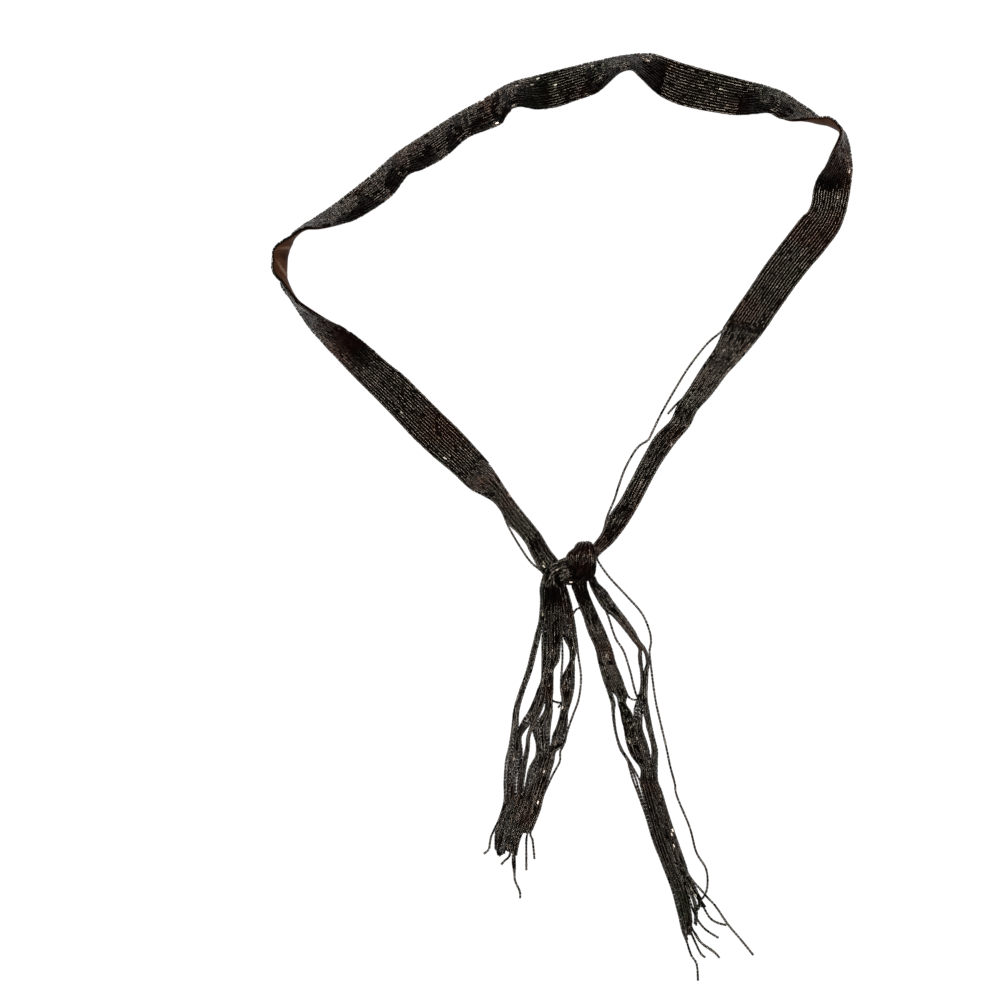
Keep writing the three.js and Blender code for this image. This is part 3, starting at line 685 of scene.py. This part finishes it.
def end_strands(run, knot, tassel, tips, turned, rng):
    """All the strands of one end of the sash, as (points, where)."""
    total = sum(count for count, _ in tassel)
    strands = []
    rank = 0
    for index, (count, lock) in enumerate(tassel):
        sections = bundle_sections(run, knot, lock)
        for k in range(count):
            tip = next((way for which, strand, way in tips if (which, strand) == (index, k)), None)
            across_bundle = (rank + 0.5) / total
            if turned:
                across_bundle = 1 - across_bundle
            across_lock = k / (count - 1) if count > 1 else 0.5
            lane = LANE if 0 < k < count - 1 else EDGE_LANE
            in_bundle = (across_bundle, rank, total)
            in_lock = (across_lock, k, count)
            strands.append(strand_track(sections, in_bundle, in_lock, lane, rng, tip))
            rank += 1
    return strands


def beads_of_strands(strands, rng):
    """Bead places, axes, ups and stretches by strand, and the threads' tracks."""
    beads = []
    threads = []
    for points, where in strands:
        shares = np.linspace(0, 1, 10 * len(points))
        track = smooth_track(points, shares)
        belongs = where[np.rint(shares * (len(points) - 1)).astype(int)]
        cut = rng.uniform(0, 2.5)
        wanted, distance = along_track(track, STRAND_PITCH, rng.uniform(0.4, 2.6))
        wanted = wanted[wanted < distance[-1] - cut]
        wanted = wanted + rng.normal(0, 0.03, len(wanted))
        places = at_distances(track, distance, wanted)
        ahead = at_distances(track, distance, wanted + 0.7)
        axes = unit(ahead - at_distances(track, distance, wanted - 0.7))
        ups = np.tile([0.03, 0.02, 1.0], (len(axes), 1))
        steep = np.abs(axes[:, 2]) > 0.8
        ups[steep] = (1.0, 0.1, 0.0)
        axes = tilted(axes, unit(ups), rng, STRAND_TILT)
        stretch = belongs[np.searchsorted(distance, wanted).clip(0, len(belongs) - 1)]
        beads.append((places, axes, ups, stretch))
        marks = np.append(np.arange(0, wanted[-1] + 1.2, 5), wanted[-1] + 1.4)
        threads.append(at_distances(track, distance, marks))
    return beads, threads


def thread_piece(name, threads):
    """Thin threads through the strands, as one curve made a mesh."""
    curve = bpy.data.curves.new(name, "CURVE")
    curve.dimensions = "3D"
    curve.bevel_depth = THREAD_DIAMETER / 2 * MM
    curve.bevel_resolution = 0
    curve.use_fill_caps = True
    for track in threads:
        spline = curve.splines.new("POLY")
        spline.points.add(len(track) - 1)
        spline.points.foreach_set("co", np.c_[track * MM, np.ones(len(track))].ravel())
    piece = bpy.data.objects.new(name, curve)
    bpy.context.collection.objects.link(piece)
    bpy.ops.object.select_all(action="DESELECT")
    piece.select_set(True)
    bpy.context.view_layer.objects.active = piece
    bpy.ops.object.convert(target="MESH")
    return bpy.context.object


# Materials.


def linear(code):
    """The linear colour of an sRGB hex code."""
    channels = [int(code[k:k + 2], 16) / 255 for k in (1, 3, 5)]
    return [c / 12.92 if c <= 0.04045 else ((c + 0.055) / 1.055) ** 2.4 for c in channels] + [1.0]


def feed(tree, node, links=None, **inputs):
    """Sets a node's own values, and its links, which are given as (node, output)."""
    for key, value in inputs.items():
        node.inputs[key.replace("_", " ")].default_value = value
    for key, (source, output) in (links or {}).items():
        tree.links.new(source.outputs[output], node.inputs[key])
    return node


def add_node(tree, kind, settings=None, links=None, **inputs):
    node = tree.nodes.new(kind)
    for key, value in (settings or {}).items():
        setattr(node, key, value)
    return feed(tree, node, links, **inputs)


def ramp(tree, source, output, stops):
    """A colour ramp over a value, with stops given as (place, hex code)."""
    node = add_node(tree, "ShaderNodeValToRGB", links={"Fac": (source, output)})
    elements = node.color_ramp.elements
    while len(elements) < len(stops):
        elements.new(0.5)
    for element, (place, code) in zip(elements, stops):
        element.position = place
        element.color = linear(code)
    return node


def noise(tree, place, output, scale, detail=2.0):
    links = {"Vector": (place, output)}
    return add_node(tree, "ShaderNodeTexNoise", links=links, Scale=scale, Detail=detail)


def mix(tree, links, blend="MIX", **inputs):
    """A mix of the colours A and B."""
    settings = {"data_type": "RGBA", "blend_type": blend}
    return add_node(tree, "ShaderNodeMix", settings, links, **inputs)


def relief(tree, source, strength, distance, under=None):
    """A bump from a texture, over another bump where one is given."""
    links = {"Height": (source, "Fac")}
    if under is not None:
        links["Normal"] = (under, "Normal")
    return add_node(tree, "ShaderNodeBump", links=links, Strength=strength, Distance=distance)


def new_material(name):
    material = bpy.data.materials.new(name)
    material.use_nodes = True
    tree = material.node_tree
    tree.nodes.clear()
    shader = add_node(tree, "ShaderNodeBsdfPrincipled")
    add_node(tree, "ShaderNodeOutputMaterial", links={"Surface": (shader, "BSDF")})
    return material, tree, shader


def black_bugle_glass():
    """Black glass, drawn and cut: sharp thin highlights, and lots that lean to bronze, wine or green."""
    material, tree, shader = new_material("black bugle glass")
    lot = add_node(tree, "ShaderNodeAttribute", {"attribute_name": "lot"})
    body = ramp(tree, lot, "Fac", [
        (0.0, "#040302"), (0.3, "#080605"), (0.55, "#120b08"), (0.75, "#080a06"), (0.9, "#1d110b"),
        (1.0, "#2e2118"),
    ])
    place = add_node(tree, "ShaderNodeTexCoord")
    patches = noise(tree, place, "Object", 28.0)
    cast = ramp(tree, patches, "Fac", [
        (0.33, "#0b1009"), (0.44, "#050403"), (0.55, "#070504"), (0.68, "#200d0a"),
    ])
    mixed = mix(tree, {"A": (body, "Color"), "B": (cast, "Color")}, Factor=0.55)
    gloss = add_node(tree, "ShaderNodeMapRange", links={"Value": (lot, "Fac")}, To_Min=0.08, To_Max=0.24)
    striae = relief(tree, noise(tree, place, "Object", 900.0, 1.0), 0.25, 0.00008)
    tint = ramp(tree, patches, "Fac", [
        (0.33, "#e3ecd2"), (0.45, "#fff4e8"), (0.55, "#fff4e8"), (0.68, "#f2cab6"),
    ])
    feed(tree, shader, {
        "Base Color": (mixed, "Result"), "Roughness": (gloss, "Result"), "Normal": (striae, "Normal"),
        "Specular Tint": (tint, "Color"),
    }, IOR=1.55, Coat_Weight=0.3, Coat_Roughness=0.06)
    return material


def silk_ground():
    """Dark silk under the beads: matt, with a plain weave; threads of 0.2 mm are drawn at 0.7 mm to show."""
    material, tree, shader = new_material("dark silk ground")
    place = add_node(tree, "ShaderNodeAttribute", {"attribute_name": "weave_place"})
    weave = add_node(
        tree, "ShaderNodeTexWave", {"wave_type": "BANDS", "bands_direction": "X"},
        {"Vector": (place, "Vector")}, Scale=450.0, Distortion=0.6, Detail=1.0,
    )
    colour = ramp(tree, weave, "Fac", [(0.0, "#100d0b"), (1.0, "#241b15")])
    threads = relief(tree, weave, 0.5, 0.0001)
    feed(
        tree, shader, {"Base Color": (colour, "Color"), "Normal": (threads, "Normal")},
        Roughness=0.8, Specular_IOR_Level=0.1,
    )
    return material


def silk_satin():
    """Brown silk satin: floats along the sash give a soft sheen, and slubs and patches vary its colour; old
    folds get painted highlight on their ridges and painted shade in their hollows.
    """
    material, tree, shader = new_material("brown silk satin")
    place = add_node(tree, "ShaderNodeAttribute", {"attribute_name": "weave_place"})
    stretch = add_node(
        tree, "ShaderNodeMapping", links={"Vector": (place, "Vector")}, Scale=(0.25, 1.0, 1.0)
    )
    slubs = noise(tree, stretch, "Vector", 700.0, 3.0)
    folds = noise(tree, place, "Vector", 120.0, 3.0)
    tone = ramp(tree, folds, "Fac", [
        (0.3, "#583726"), (0.5, "#784b34"), (0.62, "#8e604a"), (0.75, "#a57c68"),
    ])
    thread = ramp(tree, slubs, "Fac", [(0.3, "#60412d"), (0.7, "#8e6850")])
    mixed = mix(tree, {"A": (tone, "Color"), "B": (thread, "Color")}, Factor=0.35)
    # Painted highlight along the ridges of old folds, and painted shade in their hollows.
    fold = add_node(tree, "ShaderNodeAttribute", {"attribute_name": "fold"})
    fold_share = add_node(
        tree, "ShaderNodeMapRange", links={"Value": (fold, "Fac")}, From_Min=-0.3, From_Max=0.8
    )
    # Painted shade: the colour is darkened where the folds sink.
    painted_hollow_shade = ramp(tree, fold_share, "Result", [(0.0, "#6a5c54"), (0.27, "#b4b0ae"), (1.0, "#c8c4c2")])
    shaded = mix(tree, {"A": (mixed, "Result"), "B": (painted_hollow_shade, "Color")}, "MULTIPLY", Factor=1.0)
    # Painted highlight: a pale colour laid over the folds' ridges.
    ridge = ramp(tree, fold_share, "Result", [(0.34, "#000000"), (0.8, "#d8d8d8")])
    painted_ridge_highlight = mix(tree, {"Factor": (ridge, "Color"), "A": (shaded, "Result")}, B=linear("#9c8270"))
    wrinkles = relief(tree, noise(tree, place, "Vector", 260.0), 0.35, 0.0006)
    fine = relief(tree, slubs, 0.3, 0.0001, wrinkles)
    feed(
        tree, shader, {"Base Color": (painted_ridge_highlight, "Result"), "Normal": (fine, "Normal")},
        Roughness=0.6, IOR=1.25, Specular_IOR_Level=0.3, Specular_Tint=linear("#ffe2c8"),
    )
    return material


def beading_thread():
    """Waxed cotton thread, dark brown: matt, with a twist that shows as a faint change of tone."""
    material, tree, shader = new_material("waxed beading thread")
    place = add_node(tree, "ShaderNodeTexCoord")
    twist = noise(tree, place, "Object", 1500.0, 1.0)
    colour = ramp(tree, twist, "Fac", [(0.35, "#1a1310"), (0.65, "#3b2a20")])
    feed(tree, shader, {"Base Color": (colour, "Color")}, Roughness=0.7)
    return material


def light_table():
    """A white acrylic light table: it glows evenly, so that nothing on it throws a shadow."""
    material, tree, shader = new_material("white light table")
    place = add_node(tree, "ShaderNodeTexCoord")
    grain = noise(tree, place, "Object", 300.0)
    colour = ramp(tree, grain, "Fac", [(0.0, "#fdfdfd"), (1.0, "#ffffff")])
    feed(
        tree, shader, {"Emission Color": (colour, "Color")}, Base_Color=linear("#5a5a5a"),
        Emission_Strength=1.02, Roughness=0.9, Specular_IOR_Level=0.1,
    )
    return material


# Camera, light and floor.
PICTURE_WIDTH = 700
PICTURE_CENTRE = (-42.7, 12.25)
CAMERA_HEIGHT = 10000
SENSOR_WIDTH = 36
LIGHTS_AIM = (-0.04, 0.0, 0)  # in metres, as are the lights' places and sizes


def add_camera():
    data = bpy.data.cameras.new("camera")
    data.sensor_width = SENSOR_WIDTH
    data.lens = SENSOR_WIDTH * CAMERA_HEIGHT / PICTURE_WIDTH
    camera = bpy.data.objects.new("camera", data)
    camera.location = (PICTURE_CENTRE[0] * MM, PICTURE_CENTRE[1] * MM, CAMERA_HEIGHT * MM)
    bpy.context.collection.objects.link(camera)
    bpy.context.scene.camera = camera


def add_softbox(name, place, size, power):
    data = bpy.data.lights.new(name, "AREA")
    data.shape = "SQUARE"
    data.size = size
    data.energy = power
    data.color = linear("#fff4e8")[:3]
    light = bpy.data.objects.new(name, data)
    light.location = place
    away = np.array(place) - np.array(LIGHTS_AIM)
    light.rotation_euler = (
        np.arctan2(np.hypot(away[0], away[1]), away[2]), 0, np.arctan2(away[1], away[0]) + np.pi / 2
    )
    bpy.context.collection.objects.link(light)


def add_studio():
    add_softbox("overhead softbox", (-0.5, 0.9, 6.0), 4.4, 64)
    add_softbox("side softbox", (3.8, 2.6, 5.0), 1.8, 18)
    # Small ceiling lamps spread round, so that beads strung any way find one to glint in.
    for number, (x, y, power) in enumerate((
        (-0.3, 0.4, 46), (1.3, 0.5, 24), (-0.4, -1.3, 24), (-2.2, 0.3, 28), (0.2, 2.1, 28), (-2.4, 2.6, 28),
    )):
        add_softbox(f"ceiling lamp {number + 1}", (x, y, 6.0), 0.55, power)
    world = bpy.data.worlds.new("studio")
    world.use_nodes = True
    world.node_tree.nodes["Background"].inputs["Color"].default_value = linear("#ffffff")
    world.node_tree.nodes["Background"].inputs["Strength"].default_value = 0.03
    bpy.context.scene.world = world
    bpy.context.scene.view_settings.view_transform = "Standard"
    bpy.ops.object.select_all(action="DESELECT")
    bpy.ops.mesh.primitive_plane_add(size=12, location=(0, 0, 0))
    floor = bpy.context.object
    floor.name = "floor"
    floor.data.materials.append(light_table())


def finish_piece(piece, material, nodes=()):
    piece.data.materials.clear()
    piece.data.materials.append(material)
    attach(piece, "root")
    if nodes:
        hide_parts(*nodes)


def add_strip(glass, rng, bead):
    """The satin lining, the silk ground and the rows of beads on it."""
    steps = np.linspace(0, 1, CLOTH_STEPS)
    turns = [np.linspace(turn - TURN_REACH, turn + TURN_REACH, TURN_STEPS) for turn in TURNS]
    lining = cloth_sheet(
        "satin_lining", np.unique(np.concatenate([steps, *turns])),
        np.linspace(LINING_INSET, 1 - LINING_INSET / 2, LINING_COLUMNS), lining_height,
        SATIN_THICKNESS, SATIN_CREASES,
        lambda t, u: 0.05 * np.sin(t[:, None] * 210 + u[None] * 9) * np.sin(u[None] * 7 + t[:, None] * 43),
    )
    finish_piece(lining, silk_satin(), ["band_lining"])
    ground = cloth_sheet(
        "silk_ground", steps, np.linspace(0, 1, GROUND_COLUMNS), lambda t: FACE_UNDERSIDE + 0 * t,
        GROUND_THICKNESS, PUCKERS, lambda t, u: 0 * t[:, None] * u[None],
    )
    finish_piece(ground, silk_ground(), ["band_face"])
    rows = bead_rows(rng)
    half = BEAD_ROWS // 2
    row_pieces = []
    for name, chosen in (("outer_bead_rows", rows[:half]), ("inner_bead_rows", rows[half:])):
        places, axes, ups = (np.concatenate(parts) for parts in zip(*chosen))
        piece = strung(name, bead, places, axes, ups, rng)
        finish_piece(piece, glass)
        row_pieces.append(piece)
    return lining, ground, row_pieces


def all_strands(rng):
    """The strands of both ends, with the loose ones on ways of their own."""
    left_strands = end_strands(LEFT_RUN, LEFT_END_IN_KNOT, RIGHT_TASSEL, RIGHT_TIPS, True, rng)
    right_strands = end_strands(RIGHT_RUN, RIGHT_END_IN_KNOT, LEFT_TASSEL, LEFT_TIPS, False, rng)
    left_strands[1] = replace_start(*left_strands[1], LOOSE_IN_LEFT_RUN, len(LEFT_RUN) + 1)
    right_strands[-1] = replace_start(*right_strands[-1], LOOSE_IN_RIGHT_RUN, len(RIGHT_RUN) - 1)
    points, where = left_strands[0]
    kept = len(LEFT_RUN) + KNOT_SECTIONS_KEPT
    outer = np.array(OUTER_STRAND, float)
    where = np.r_[where[:kept], np.full(len(outer), 2)]
    left_strands[0] = (np.vstack([points[:kept], outer]), where)
    return left_strands, right_strands


def solids_replaced():
    """The solids that each heap of beads stands for."""
    tips_left = sorted(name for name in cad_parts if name.startswith("tip_left"))
    tips_right = sorted(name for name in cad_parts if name.startswith("tip_right"))
    return {
        "left_run": ["fringe_left_run", "strand_run_left"],
        "right_run": ["fringe_right_run", "strand_run_upper", "strand_run_lower"],
        "knot": ["knot"],
        "left_tassel": ["tassel_left", "tassel_left_lock", "strand_left_stray", *tips_left],
        "right_tassel": [
            "tassel_right", "tassel_right_side", "strand_right_inner", "strand_right_outer", *tips_right,
        ],
    }


def add_fringe(glass, rng, bead):
    """The beads and threads of all the strands, joined by the stretch that they lie in."""
    left_strands, right_strands = all_strands(rng)
    gathered = {"left_run": [], "right_run": [], "knot": [], "left_tassel": [], "right_tassel": []}
    threads = []
    for strands, names in (
        (left_strands, ("left_run", "knot", "right_tassel")),
        (right_strands, ("right_run", "knot", "left_tassel")),
    ):
        beads, tracks = beads_of_strands(strands, rng)
        threads.append(tracks)
        for places, axes, ups, stretch in beads:
            for number, name in enumerate(names):
                chosen = stretch == number
                gathered[name].append((places[chosen], axes[chosen], ups[chosen]))
    for name, route in STRAYS:
        route = np.array(route, float)
        beads, tracks = beads_of_strands([(route, np.zeros(len(route)))], rng)
        gathered[name].append(beads[0][:3])
        threads[0].extend(tracks)
    replaced = solids_replaced()
    pieces = []
    for name, parts in gathered.items():
        places, axes, ups = (np.concatenate(group) for group in zip(*parts))
        piece = strung(name + "_beads", bead, places, axes, unit(ups), rng)
        finish_piece(piece, glass, replaced[name])
        pieces.append(piece)
    thread = beading_thread()
    for name, tracks in zip(("left_end_threads", "right_end_threads"), threads):
        piece = thread_piece(name, tracks)
        finish_piece(piece, thread)
        pieces.append(piece)
    return pieces


def main():
    add_camera()
    add_studio()
    rng = np.random.default_rng(SEED)
    glass = black_bugle_glass()
    bead = model_bead()
    lining, ground, row_pieces = add_strip(glass, rng, bead)
    strand_pieces = add_fringe(glass, rng, bead)


main()
